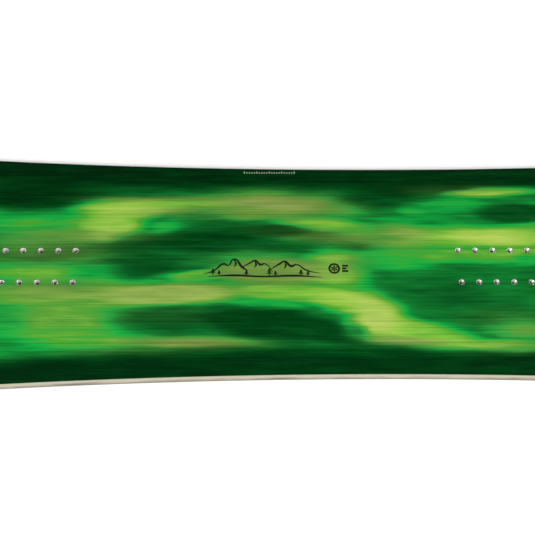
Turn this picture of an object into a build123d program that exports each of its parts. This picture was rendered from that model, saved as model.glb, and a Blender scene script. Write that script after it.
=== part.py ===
# A directional snowboard with a sandwich build: base, wrapped steel edges, glass laminates, a wood core
# of seven strips between sidewalls, tip and tail spacers, threaded binding inserts and a topsheet.
#
# Frame: +X runs to the tail and -X to the nose, +Y is the rider's right facing the nose, +Z is up.
# The origin is midway along the board, on its centreline, at the level of the running surface.
# A height is measured square to the running surface, from that surface. An inset is measured inwards
# from the outline of the steel edge, in plan. All sizes are in millimetres.
import os
from functools import cache
from math import atan, ceil, degrees, radians, sqrt, tan

from build123d import *

# Outline in plan: tangent arcs
LENGTH = 1570
WAIST_WIDTH = 262  # over the steel edges, at the narrowest point
WAIST_X = 150
SIDECUT_RADIUS = 7750
SIDECUT_NOSE_X = -400  # the sidecut arc ends here and the flare to the nose begins
SIDECUT_TAIL_X = 560
NOSE_WIDEST_X = -585
TAIL_WIDEST_X = 660
NOSE_SHOULDER_RADIUS = 300
TAIL_SHOULDER_RADIUS = 90

# Side profile: flat between the contacts, then the nose and tail turn up
NOSE_CONTACT_X = -575
TAIL_CONTACT_X = 625
KICK_RADIUS = 450
KICK_ANGLE = 40  # drawn well past the tips, and cut back by the outline

# Layers, as heights above the running surface
BASE_THICKNESS = 1.2
EDGE_HEIGHT = 2.0
LAMINATE_THICKNESS = 0.6
TOPSHEET_THICKNESS = 0.5
CORE_BOTTOM = EDGE_HEIGHT + LAMINATE_THICKNESS
CORE_THICKNESS = 6.6  # under the bindings
TIP_THICKNESS = 2.0  # of the spacers, beyond the contacts

# Steel edge
EDGE_WIDTH = 2.0
TANG_WIDTH = 6.0  # the anchor that lies on the base
TANG_THICKNESS = 0.5

# Core
CORE_NOSE_X = -560
CORE_TAIL_X = 610
PLATEAU_NOSE_X = -300  # the core keeps its full thickness between these, and tapers to the contacts
PLATEAU_TAIL_X = 380
SIDEWALL_INSET = 12
STRIP_JOINTS_Y = (22.5, 67.5, 92.5)  # glue lines, either side of the centreline

# Sidewall bevel, milled round the whole board
BEVEL_ANGLE = 20
BEVEL_HEIGHT = 3.2  # it starts just above the lower laminate
BEVEL_OVERRUN = 0.3  # how far the cutter starts outside the edge
CUTTER_TOP = 14
CUTTER_REACH = 12
SECTION_ANGLE = 8  # the most that the outline turns between two sections of the cutter
SECTION_PITCH = 40

# Binding inserts
STANCE_CENTRE_X = 40
INSERT_GAP = 440  # between the innermost inserts of the two packs
INSERT_PITCH = 20
INSERT_ROW_Y = 20
INSERTS_PER_ROW = 6
INSERT_BORE = 5.0  # M6 thread, at its minor diameter
INSERT_BARREL = 9.0
INSERT_FLANGE = 16.0
INSERT_FLANGE_THICKNESS = 1.2
INSERT_MOUTH = 6.8  # countersunk mouth, and the hole in the topsheet

HALF_SPAN = 200  # wider than half the board

# The levels where the layers meet: the height beyond the contacts, and the height under the bindings
RUNNING_LEVEL = (0, 0)
BASE_LEVEL = (BASE_THICKNESS, BASE_THICKNESS)
TANG_LEVEL = (BASE_THICKNESS + TANG_THICKNESS, BASE_THICKNESS + TANG_THICKNESS)
EDGE_LEVEL = (EDGE_HEIGHT, EDGE_HEIGHT)
CORE_BOTTOM_LEVEL = (CORE_BOTTOM, CORE_BOTTOM)
CORE_TOP_LEVEL = (CORE_BOTTOM + TIP_THICKNESS, CORE_BOTTOM + CORE_THICKNESS)
GLASS_LEVEL = tuple(height + LAMINATE_THICKNESS for height in CORE_TOP_LEVEL)
TOP_LEVEL = tuple(height + TOPSHEET_THICKNESS for height in GLASS_LEVEL)
GLASS_HEIGHT = GLASS_LEVEL[1]


def sidecut_y(x):
    """Half width of the sidecut arc at x."""
    return WAIST_WIDTH / 2 + SIDECUT_RADIUS - sqrt(SIDECUT_RADIUS**2 - (x - WAIST_X) ** 2)


def flare(sidecut_x, widest_x):
    """Draws the arc from the sidecut's end to the widest point, where it runs lengthwise."""
    slope = (sidecut_x - WAIST_X) / sqrt(SIDECUT_RADIUS**2 - (sidecut_x - WAIST_X) ** 2)
    run = widest_x - sidecut_x
    start = (sidecut_x, sidecut_y(sidecut_x))
    widest = (widest_x, start[1] + run * tan(atan(slope) / 2))
    heading = 1 if run > 0 else -1
    TangentArc(start, widest, tangent=(heading, heading * slope))
    return widest


def round_end(widest, shoulder):
    """Draws the shoulder arc and the tip arc of one end, from its widest point to its tip."""
    x, y = widest
    end = 1 if x > 0 else -1
    run = LENGTH / 2 - abs(x)
    tip = (run**2 + (y - shoulder) ** 2 - shoulder**2) / (2 * (run - shoulder))
    shoulder_centre = Vector(x, y - shoulder)
    tip_centre = Vector(end * (LENGTH / 2 - tip), 0)
    meeting = shoulder_centre + (shoulder_centre - tip_centre) * (shoulder / (tip - shoulder))
    TangentArc(widest, meeting, tangent=(end, 0))
    TangentArc((end * LENGTH / 2, 0), meeting, tangent=(0, 1))


def half_outline():
    """Draws the +Y half of the outline, in the BuildLine that calls it."""
    nose_end = (SIDECUT_NOSE_X, sidecut_y(SIDECUT_NOSE_X))
    tail_end = (SIDECUT_TAIL_X, sidecut_y(SIDECUT_TAIL_X))
    ThreePointArc(nose_end, (WAIST_X, WAIST_WIDTH / 2), tail_end)
    round_end(flare(SIDECUT_NOSE_X, NOSE_WIDEST_X), NOSE_SHOULDER_RADIUS)
    round_end(flare(SIDECUT_TAIL_X, TAIL_WIDEST_X), TAIL_SHOULDER_RADIUS)


@cache
def prism(inset):
    """The +Y half of the plan outline, drawn in by the inset, as a tall block."""
    with BuildSketch() as outline:
        with BuildLine():
            half_outline()
            mirror(about=Plane.XZ)
        make_face()
        if inset:
            offset(amount=-inset)
        with Locations((0, HALF_SPAN)):
            Rectangle(2 * LENGTH, 2 * HALF_SPAN, mode=Mode.INTERSECT)
    with BuildPart() as block:
        extrude(outline.sketch, amount=HALF_SPAN, both=True)
    return block.part


def contour(tip_height, height):
    """Draws one level of the side profile, in the BuildLine that calls it. Returns its two ends."""
    radius = KICK_RADIUS - tip_height
    nose = CenterArc((NOSE_CONTACT_X, KICK_RADIUS), radius, 270 - KICK_ANGLE, KICK_ANGLE)
    tail = CenterArc((TAIL_CONTACT_X, KICK_RADIUS), radius, 270, KICK_ANGLE)
    if height == tip_height:
        Line(nose @ 1, tail @ 0)
        return nose @ 0, tail @ 1
    for root, plateau_x in ((nose @ 1, PLATEAU_NOSE_X), (tail @ 0, PLATEAU_TAIL_X)):
        middle_x = (root.X + plateau_x) / 2
        Bezier(root, (middle_x, tip_height), (middle_x, height), (plateau_x, height))
    Line((PLATEAU_NOSE_X, height), (PLATEAU_TAIL_X, height))
    return nose @ 0, tail @ 1


@cache
def slab(low, high):
    """Everything between two levels, on the +Y side, far wider than the board."""
    with BuildSketch(Plane.XZ) as side:
        with BuildLine():
            low_nose, low_tail = contour(*low)
            high_nose, high_tail = contour(*high)
            Line(low_nose, high_nose)
            Line(low_tail, high_tail)
        make_face()
    with BuildPart() as bent:
        extrude(side.sketch, amount=-HALF_SPAN)
    return bent.part


def level_z(x, height):
    """Z of the constant level at that height, at x."""
    past = max(NOSE_CONTACT_X - x, x - TAIL_CONTACT_X, 0)
    return KICK_RADIUS - sqrt((KICK_RADIUS - height) ** 2 - past**2)


def bevel_section(edge, along):
    """The cutter's section across the outline at a point of it: the sloping side is the bevel."""
    outward = Vector(-along.Y, along.X)
    lean = tan(radians(BEVEL_ANGLE))
    start = (BEVEL_OVERRUN, BEVEL_HEIGHT - BEVEL_OVERRUN / lean)
    finish = (-(CUTTER_TOP - BEVEL_HEIGHT) * lean, CUTTER_TOP)
    corners = (start, finish, (CUTTER_REACH, CUTTER_TOP), (CUTTER_REACH, start[1]))
    across = Plane((edge.X, edge.Y, 0), x_dir=outward, z_dir=outward.cross(Vector(0, 0, 1)))
    with BuildSketch(across) as section:
        with BuildLine():
            Polyline([(out, level_z(edge.X + out * outward.X, height)) for out, height in corners], close=True)
        make_face()
    return section.sketch


def sit(places, height):
    """The same places in plan, at that height."""
    return [(x, y, height) for x, y in places]


def insert_row(end):
    """Places of one row of inserts on the +Y side: end is -1 for the front pack and 1 for the rear."""
    inner_x = STANCE_CENTRE_X + end * INSERT_GAP / 2
    return [(inner_x + end * INSERT_PITCH * n, INSERT_ROW_Y) for n in range(INSERTS_PER_ROW)]


def insert_bodies(places):
    """Adds the inserts' outsides: a flange under the core and a barrel up to the topsheet."""
    upright = (Align.CENTER, Align.CENTER, Align.MIN)
    with Locations(*sit(places, CORE_BOTTOM)):
        Cylinder(INSERT_FLANGE / 2, INSERT_FLANGE_THICKNESS, align=upright)
        Cylinder(INSERT_BARREL / 2, GLASS_HEIGHT - CORE_BOTTOM, align=upright)


def between(low_x, high_x, low_y=0, high_y=HALF_SPAN):
    """Keeps only what lies between those limits, in the BuildPart that calls it."""
    with Locations(((low_x + high_x) / 2, (low_y + high_y) / 2, 0)):
        Box(high_x - low_x, high_y - low_y, 2 * HALF_SPAN, mode=Mode.INTERSECT)


def mirrored(piece):
    """The left piece of a pair, from the right one."""
    with BuildPart() as other:
        mirror(piece.part, about=Plane.XZ)
    return other


# Everything is made on the +Y side first. Pieces that cross the centreline are then mirrored onto
# themselves, and pairs are mirrored into a second piece.

# The ring that mills the bevel
with BuildLine() as right_outline:
    half_outline()

stations = []
for arc in right_outline.wires()[0].edges():
    steps = ceil(max(degrees(arc.length / arc.radius) / SECTION_ANGLE, arc.length / SECTION_PITCH))
    stations += [(arc @ (n / steps), arc % (n / steps)) for n in range(steps)]
stations.append((arc @ 1, arc % 1))

with BuildPart() as bevel_cutter:
    loft([bevel_section(*station) for station in stations])

# Running base, the steel edge round it and the rubber foil on the edge's tang
with BuildPart() as base_sheet:
    add(slab(RUNNING_LEVEL, BASE_LEVEL))
    add(prism(EDGE_WIDTH), mode=Mode.INTERSECT)
    mirror(about=Plane.XZ)

with BuildPart() as tang:
    add(slab(BASE_LEVEL, TANG_LEVEL))
    add(prism(EDGE_WIDTH), mode=Mode.INTERSECT)
    add(prism(EDGE_WIDTH + TANG_WIDTH), mode=Mode.SUBTRACT)

with BuildPart() as right_steel_edge:
    add(slab(RUNNING_LEVEL, EDGE_LEVEL))
    add(prism(0), mode=Mode.INTERSECT)
    add(prism(EDGE_WIDTH), mode=Mode.SUBTRACT)
    add(tang.part)

with BuildPart() as right_edge_foil:
    add(slab(TANG_LEVEL, EDGE_LEVEL))
    add(prism(EDGE_WIDTH), mode=Mode.INTERSECT)
    add(prism(EDGE_WIDTH + TANG_WIDTH), mode=Mode.SUBTRACT)

# Lower laminate: inside the tang it steps down to meet the base
with BuildPart() as laminate_step:
    add(slab(BASE_LEVEL, EDGE_LEVEL))
    add(prism(EDGE_WIDTH + TANG_WIDTH), mode=Mode.INTERSECT)

with BuildPart() as lower_laminate:
    add(slab(EDGE_LEVEL, CORE_BOTTOM_LEVEL))
    add(prism(0), mode=Mode.INTERSECT)
    add(laminate_step.part)
    mirror(about=Plane.XZ)

# Threaded binding inserts, one row of six to a node
front_row, rear_row = insert_row(-1), insert_row(1)

with BuildPart() as insert_pockets:
    insert_bodies(front_row + rear_row)

insert_rows = {}
for pack, places in (("front", front_row), ("rear", rear_row)):
    with BuildPart() as row:
        insert_bodies(places)
        with Locations(*sit(places, GLASS_HEIGHT)):
            CounterSinkHole(INSERT_BORE / 2, INSERT_MOUTH / 2, counter_sink_angle=90)
    insert_rows[pack] = row

# The wood core, cut into strips along its glue lines
with BuildPart() as core_blank:
    add(slab(CORE_BOTTOM_LEVEL, CORE_TOP_LEVEL))
    add(prism(SIDEWALL_INSET), mode=Mode.INTERSECT)
    between(CORE_NOSE_X, CORE_TAIL_X)
    add(insert_pockets.part, mode=Mode.SUBTRACT)

with BuildPart() as centre_core_strip:
    add(core_blank.part)
    between(CORE_NOSE_X, CORE_TAIL_X, 0, STRIP_JOINTS_Y[0])
    mirror(about=Plane.XZ)

side_strips = {}
for name, low_y, high_y in zip(("wide", "narrow", "outer"), STRIP_JOINTS_Y, (*STRIP_JOINTS_Y[1:], HALF_SPAN)):
    with BuildPart() as strip:
        add(core_blank.part)
        between(CORE_NOSE_X, CORE_TAIL_X, low_y, high_y)
    side_strips[name] = strip

# Sidewalls beside the core, and spacers beyond its ends
with BuildPart() as rim:
    add(slab(CORE_BOTTOM_LEVEL, CORE_TOP_LEVEL))
    add(prism(0), mode=Mode.INTERSECT)
    add(bevel_cutter.part, mode=Mode.SUBTRACT)

with BuildPart() as right_sidewall:
    add(rim.part)
    between(CORE_NOSE_X, CORE_TAIL_X)
    add(prism(SIDEWALL_INSET), mode=Mode.SUBTRACT)

with BuildPart() as nose_spacer:
    add(rim.part)
    between(-LENGTH, CORE_NOSE_X)
    mirror(about=Plane.XZ)

with BuildPart() as tail_spacer:
    add(rim.part)
    between(CORE_TAIL_X, LENGTH)
    mirror(about=Plane.XZ)

# Upper laminate and topsheet
with BuildPart() as upper_laminate:
    add(slab(CORE_TOP_LEVEL, GLASS_LEVEL))
    add(prism(0), mode=Mode.INTERSECT)
    add(bevel_cutter.part, mode=Mode.SUBTRACT)
    add(insert_pockets.part, mode=Mode.SUBTRACT)
    mirror(about=Plane.XZ)

with BuildPart() as topsheet:
    add(slab(GLASS_LEVEL, TOP_LEVEL))
    add(prism(0), mode=Mode.INTERSECT)
    add(bevel_cutter.part, mode=Mode.SUBTRACT)
    with Locations(*sit(front_row + rear_row, GLASS_HEIGHT)):
        Cylinder(INSERT_MOUTH / 2, CUTTER_TOP, mode=Mode.SUBTRACT)
    mirror(about=Plane.XZ)

pieces = {
    "base_sheet": base_sheet,
    "lower_laminate": lower_laminate,
    "centre_core_strip": centre_core_strip,
    "nose_spacer": nose_spacer,
    "tail_spacer": tail_spacer,
    "upper_laminate": upper_laminate,
    "topsheet": topsheet,
}
pairs = {
    "steel_edge": right_steel_edge,
    "edge_foil": right_edge_foil,
    "sidewall": right_sidewall,
    **{f"{name}_core_strip": strip for name, strip in side_strips.items()},
}
for name, piece in pairs.items():
    pieces[f"right_{name}"] = piece
    pieces[f"left_{name}"] = mirrored(piece)
for pack, row in insert_rows.items():
    pieces[f"{pack}_right_inserts"] = row
    pieces[f"{pack}_left_inserts"] = mirrored(row)

os.makedirs("parts", exist_ok=True)
for name, piece in pieces.items():
    piece.part.label = name
    export_step(piece.part, f"parts/{name}.step")
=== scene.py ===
# %% [markdown]
# # A snowboard, from its layers to its finish
# A snowboard is a sandwich. From the bottom up it has a base, a steel edge round it, a sheet of
# glass laminate, a wood core between plastic sidewalls, a second laminate and a printed topsheet.
# The exact solids of those layers are loaded first, and everything below is placed from them.
# The outer layers are then made again as smooth shells, because long shallow curves need closer
# points than the solids carry, and the hidden layers keep their solids and get a finish.

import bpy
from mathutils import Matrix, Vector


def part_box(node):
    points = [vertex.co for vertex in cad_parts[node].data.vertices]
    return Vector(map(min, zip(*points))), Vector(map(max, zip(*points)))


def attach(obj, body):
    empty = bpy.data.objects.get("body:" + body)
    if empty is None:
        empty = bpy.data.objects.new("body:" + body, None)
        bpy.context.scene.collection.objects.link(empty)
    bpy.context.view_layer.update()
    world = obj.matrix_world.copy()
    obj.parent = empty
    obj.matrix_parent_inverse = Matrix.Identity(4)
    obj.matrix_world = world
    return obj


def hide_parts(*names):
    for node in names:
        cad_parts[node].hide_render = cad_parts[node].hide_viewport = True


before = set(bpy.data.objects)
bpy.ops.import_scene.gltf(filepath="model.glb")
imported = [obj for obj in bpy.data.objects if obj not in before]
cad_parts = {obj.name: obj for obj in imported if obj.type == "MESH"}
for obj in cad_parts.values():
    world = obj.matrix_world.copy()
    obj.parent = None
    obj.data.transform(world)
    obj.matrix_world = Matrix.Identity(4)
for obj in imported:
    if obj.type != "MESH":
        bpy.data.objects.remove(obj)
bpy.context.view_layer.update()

# %% What the script uses
from math import asin, atan, atan2, ceil, cos, degrees, pi, radians, sin, sqrt, tan

import bmesh
import bpy
from mathutils import Matrix, Vector

scene = bpy.context.scene

# %% [markdown]
# The board lies flat, nose to the left. Its own sizes come from the frame where a node's box gives
# them: the tips from the steel edge, the inserts from their rows. The radii of the outline are the
# same ones that the solids were drawn with. All lengths are in metres.

# %% Sizes of the board
TIP_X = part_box("right_steel_edge")[1].x
HALF_WAIST = 0.131
WAIST_X = 0.150
SIDECUT_RADIUS = 7.750
SIDECUT_ENDS = (-0.400, 0.560)
WIDEST = (-0.585, 0.660)
SHOULDER_RADII = (0.300, 0.090)
CONTACTS = (-0.575, 0.625)  # the base is flat between them
KICK_RADIUS = 0.450

BASE_THICKNESS = 0.0012
EDGE_HEIGHT = 0.0020
EDGE_WIDTH = 0.0020
TANG_WIDTH = 0.0060
TANG_THICKNESS = 0.0005
SIDEWALL_INSET = 0.012
CORE_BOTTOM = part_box("centre_core_strip")[0].z
CORE_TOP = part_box("centre_core_strip")[1].z
TIP_CORE = 0.0020  # what is left of the core's thickness beyond the contacts
GLASS_TOP = CORE_TOP + 0.0006
BOARD_TOP = GLASS_TOP + 0.0005
PLATEAU = (-0.300, 0.380)  # the core keeps its full thickness between these
CORE_ENDS = (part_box("centre_core_strip")[0].x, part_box("centre_core_strip")[1].x)
BEVEL_HEIGHT = 0.0032
BEVEL_LEAN = tan(radians(20))
GLUE_LINES = (0.0225, 0.0675, 0.0925)

front_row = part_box("front_left_inserts")
rear_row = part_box("rear_left_inserts")
INSERT_FLANGE = (front_row[1].y - front_row[0].y) / 2
ROW_Y = -(front_row[0].y + front_row[1].y) / 2
PITCH = 0.020
MOUTH = 0.0034
STANCE_X = (front_row[0].x + rear_row[1].x) / 2
columns = [row[0].x + INSERT_FLANGE + PITCH * n for row in (front_row, rear_row) for n in range(6)]
print("stance centre:", round(STANCE_X, 4), "columns:", [round(x, 3) for x in columns])

# %% [markdown]
# The camera looks down on the middle of the board from just in front of it, and a little from the
# nose side. It is a normal to long lens, so both packs of inserts come in at the sides. A camera
# looks along its own -Z with +Y up, so it is turned to look at its mark, and a small turn about the
# line of sight levels the board.

# %% Camera
CAMERA_RISE = 0.8627
CAMERA_AT = Vector((STANCE_X - 0.0135, -0.4082, BOARD_TOP + CAMERA_RISE))
LOOKS_AT = Vector((STANCE_X, -0.0017, BOARD_TOP))
CAMERA_ROLL = radians(1.68)

camera = bpy.data.objects.new("camera", bpy.data.cameras.new("camera"))
camera.data.lens = 56.35
camera.rotation_mode = "QUATERNION"
looking = (LOOKS_AT - CAMERA_AT).to_track_quat("-Z", "Y")
camera.rotation_quaternion = looking @ Matrix.Rotation(CAMERA_ROLL, 3, "Z").to_quaternion()
camera.location = CAMERA_AT
scene.collection.objects.link(camera)
scene.camera = camera
print("camera elevation:", round(degrees(atan2(CAMERA_RISE, (LOOKS_AT - CAMERA_AT).xy.length)), 1))

# %% [markdown]
# Colours are written as sRGB hex values, as a paint chart gives them, and one function turns them
# to the linear numbers that a shader works in. One more function adds a node: its properties come
# as keywords and its sockets as a dictionary, where a value is set and a node or socket is linked.

# %% Colour and node helpers
def linear(hexcode):
    """An sRGB hex colour as linear red, green, blue and alpha."""
    shares = [int(hexcode[n : n + 2], 16) / 255 for n in (1, 3, 5)]
    return (*(s / 12.92 if s <= 0.04045 else ((s + 0.055) / 1.055) ** 2.4 for s in shares), 1)


def add(tree, kind, sockets=None, **settings):
    """Adds a node, sets its properties, and fills or links its sockets."""
    node = tree.nodes.new("ShaderNode" + kind)
    for name, value in settings.items():
        setattr(node, name, value)
    for name, value in (sockets or {}).items():
        if isinstance(value, bpy.types.Node):
            value = next(socket for socket in value.outputs if socket.enabled)
        if isinstance(value, bpy.types.NodeSocket):
            tree.links.new(value, node.inputs[name])
        else:
            node.inputs[name].default_value = value
    return node


def start_material(name, **constants):
    """A material with a Principled shader that has those constants: its tree, shader and place."""
    material = bpy.data.materials.new(name)
    material.use_nodes = True
    tree = material.node_tree
    tree.nodes.clear()
    sockets = {socket.replace("_", " "): value for socket, value in constants.items()}
    shader = add(tree, "BsdfPrincipled", sockets)
    add(tree, "OutputMaterial", {"Surface": shader})
    place = add(tree, "TexCoord").outputs["Object"]
    return material, tree, shader, place


print("helpers ready")

# %% [markdown]
# The topsheet is a clear polyamide sheet, printed on its underside and laid over the laminate, so
# its colour has depth and its surface is a smooth satin. The print is stain that has run along the
# board: dark pools with an emerald rim, then lime, then a pale yellow lime. That order never
# changes, so one number, the stain's lightness, can be painted first and a colour ramp read from it.
#
# Each wash is an ellipse with soft sides: where it is from the stance centre, its half length and
# half width to the middle of its soft side, all in millimetres, its tilt in degrees, its lightness,
# and how soft its side is. Later washes lie on earlier ones. A stretched noise moves the point that the washes are read at, so
# that their sides run and feather along the board as stain does.

# %% The stain's washes
WASHES = (
    # the ground of the middle, over the looser pattern of the nose and tail
    (0, 0, 390, 150, 0, 0.39, 0.6),
    # far side, towards the nose
    (-290, 94, 80, 18, 0, 0.07, 0.6),
    (-275, 56, 70, 12, 3, 0.60, 0.9),
    (-240, 34, 65, 11, 0, 0.64, 0.9),
    (-95, 69, 45, 5, 0, 0.48, 0.9),
    (-20, 67, 52, 7, 0, 0.60, 0.9),
    (-185, 63, 42, 20, 12, 0.76, 0.9),
    (-150, 78, 62, 11, 0, 0.84, 0.7),
    (-160, 73, 28, 9, 0, 0.90, 0.9),
    (-85, 80, 50, 7, 0, 0.73, 0.8),
    (10, 82, 78, 14, -3, 0.80, 0.95),
    (88, 75, 25, 9, 0, 0.58, 0.9),
    (62, 54, 50, 8, -2, 0.76, 0.7),
    (-182, 52, 30, 12, 0, 0.85, 0.7),
    (-188, 37, 26, 7, 0, 0.78, 0.8),
    (-115, 51, 26, 10, 8, 0.50, 0.8),
    (-120, 47, 12, 5, 0, 0.58, 0.9),
    (-70, 54, 26, 8, 0, 0.36, 0.9),
    (-150, 33, 26, 7, 0, 0.42, 0.9),
    # the dark pool on the far side, and the brown that it thins to
    (60, 37, 52, 8, -4, 0.44, 0.9),
    (112, 40, 32, 9, -8, 0.62, 0.9),
    (-65, 35, 75, 14, 5, 0.15, 0.7),
    (0, 46, 40, 8, 0, 0.20, 0.8),
    (-95, 24, 92, 7, 0, 0.18, 0.8),
    (30, 24, 75, 5, -2, 0.27, 0.8),
    # the middle, left of the drawing
    (-250, 16, 60, 14, 0, 0.44, 0.9),
    (-262, -7, 56, 9, 0, 0.72, 0.9),
    (-160, -9, 55, 12, 2, 0.57, 0.5),
    (-105, 8, 62, 11, 0, 0.33, 0.8),
    (-150, 0, 46, 15, 3, 0.23, 0.6),
    (-196, -7, 24, 13, 0, 0.51, 1.0),
    # under the drawing and right of it
    (-20, 9, 48, 10, 0, 0.50, 0.9),
    (-72, -11, 36, 7, 3, 0.68, 0.5),
    (78, 4, 32, 17, 0, 0.80, 0.8),
    (8, -7, 66, 17, -1, 0.66, 0.5),
    (80, -14, 36, 11, 0, 0.78, 0.8),
    # the bright run down the near side
    (-250, -34, 88, 14, 0, 0.72, 0.8),
    (-120, -34, 92, 13, 2, 0.84, 0.6),
    (30, -34, 68, 11, -3, 0.74, 0.4),
    (-3, -47, 40, 7, -4, 0.58, 0.7),
    (82, -42, 32, 13, -8, 0.86, 0.8),
    (-222, -70, 68, 34, 0, 0.68, 0.8),
    (-300, -70, 26, 18, 0, 0.50, 0.9),
    (-185, -90, 38, 6, 0, 0.66, 0.8),
    (175, -80, 60, 14, -10, 0.78, 0.6),
    (120, -60, 32, 26, -32, 0.95, 0.8),
    (250, -99, 75, 8, 0, 0.82, 0.7),
    (150, -93, 38, 6, 0, 0.78, 0.8),
    # the dark pool on the near side
    (-85, -91, 68, 6, -1, 0.68, 0.8),
    (-150, -102, 62, 6, 0, 0.46, 0.8),
    (20, -101, 115, 6, 0, 0.27, 0.9),
    (-108, -66, 62, 14, -1, 0.25, 0.7),
    (-2, -69, 75, 19, -6, 0.14, 0.5),
    (60, -79, 40, 12, -12, 0.16, 0.5),
    (98, -80, 14, 9, -20, 0.44, 0.9),
    # far side, towards the tail
    (137, 92, 50, 17, 0, 0.20, 0.7),
    (268, 98, 48, 7, 3, 0.82, 0.7),
    (205, 79, 46, 11, 3, 0.50, 0.8),
    (175, 72, 14, 5, 0, 0.57, 0.9),
    (220, 83, 22, 6, 0, 0.57, 0.9),
    (200, 60, 38, 9, 0, 0.46, 0.9),
    (150, 56, 28, 10, 0, 0.52, 0.9),
    (160, 40, 28, 8, -10, 0.74, 0.9),
    (264, 37, 102, 15, -1, 0.84, 0.7),
    (175, 27, 40, 6, 0, 0.80, 0.9),
    (258, 37, 38, 7, 0, 0.96, 0.9),
    (290, 70, 42, 12, 0, 0.22, 0.5),
    # the pool towards the tail, with an emerald rim
    (190, 16, 70, 5, 0, 0.66, 0.9),
    (205, 7, 95, 9, 0, 0.53, 0.8),
    (240, -35, 124, 44, -16, 0.37, 0.6),
    (210, -40, 52, 15, -10, 0.31, 0.9),
    (285, -78, 34, 12, 0, 0.62, 0.9),
    (215, 13, 112, 9, 0, 0.68, 0.9),
    (290, 17, 40, 8, 0, 0.74, 0.9),
    (146, 5, 42, 10, -4, 0.57, 0.8),
    (298, 8, 14, 7, 0, 0.55, 0.9),
)
BROWNED = (
    # where the lime has turned to khaki: the same, with how brown it is
    (14, 82, 78, 15, -3, 0.90, 0.9),
    (-20, 67, 60, 7, 0, 0.60, 0.9),
    (-100, 69, 50, 6, 0, 0.60, 0.9),
    (-130, 90, 85, 4, 0, 0.80, 0.9),
    (-170, 36, 50, 8, 0, 0.45, 0.9),
    (75, 37, 75, 9, -6, 0.80, 0.9),
    (150, 42, 32, 10, -8, 0.60, 0.9),
    (-20, 9, 50, 11, 0, 0.30, 0.9),
    (8, -7, 68, 17, -1, 0.75, 0.4),
    (85, 2, 28, 15, 0, 0.40, 0.9),
    (-120, -33, 90, 12, 2, 0.70, 0.7),
    (-240, -30, 60, 14, 0, 0.65, 0.9),
    (-240, 33, 70, 13, 0, 0.60, 0.9),
    (-232, -60, 60, 20, 0, 0.25, 0.9),
    (-250, 18, 70, 14, 0, 0.70, 0.9),
    (-120, -60, 60, 10, 0, 0.25, 0.9),
    (-85, -92, 78, 7, -1, 0.90, 0.8),
    (-150, -102, 62, 6, 0, 0.40, 0.9),
    (118, -62, 22, 24, -25, 0.30, 0.9),
    (150, -93, 45, 6, 0, 0.80, 0.8),
    (270, -100, 60, 7, 0, 0.40, 0.9),
    (290, -76, 34, 12, 0, 0.50, 0.9),
    (215, 103, 50, 6, 0, 0.60, 0.9),
    (262, -62, 40, 10, 0, 0.30, 0.9),
)
STAIN_COLOURS = (
    (0.00, "#00260B"),
    (0.15, "#023D13"),
    (0.30, "#0A5821"),
    (0.42, "#12782E"),
    (0.50, "#109A3C"),
    (0.57, "#20A63D"),
    (0.66, "#4B9E31"),
    (0.76, "#70B23A"),
    (0.88, "#97C04A"),
    (1.00, "#B0C95B"),
)
KHAKI_COLOURS = (
    (0.00, "#0B2A0C"),
    (0.30, "#2B521E"),
    (0.50, "#526E2E"),
    (0.66, "#6F8640"),
    (0.80, "#849650"),
    (0.90, "#98A85B"),
    (1.00, "#AFBF69"),
)
print(len(WASHES), "washes and", len(BROWNED), "browned patches")

# %% [markdown]
# The pattern is built with few kinds of node. A Mapping node of the texture type puts the point in
# the ellipse's own frame, where its side is one unit away, and a spherical gradient falls from 1 at
# its middle to 0 at its side. A Map Range turns the outer part of that fall into a soft side.

# %% Topsheet
def inside_ellipse(tree, point, x, y, half_length, half_width, tilt, softness):
    """A share that is 1 inside the ellipse and falls to 0 at its side."""
    full = 0.001 / (1 - softness / 2)
    own_frame = {
        "Vector": point,
        "Location": (STANCE_X + x / 1000, y / 1000, 0),
        "Rotation": (0, 0, radians(tilt)),
        "Scale": (half_length * full, half_width * full, 10),
    }
    unit = add(tree, "Mapping", own_frame, vector_type="TEXTURE")
    fall = add(tree, "TexGradient", {"Vector": unit}, gradient_type="SPHERICAL").outputs["Fac"]
    return add(tree, "MapRange", {"Value": fall, "From Max": softness}, interpolation_type="SMOOTHSTEP")


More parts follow.
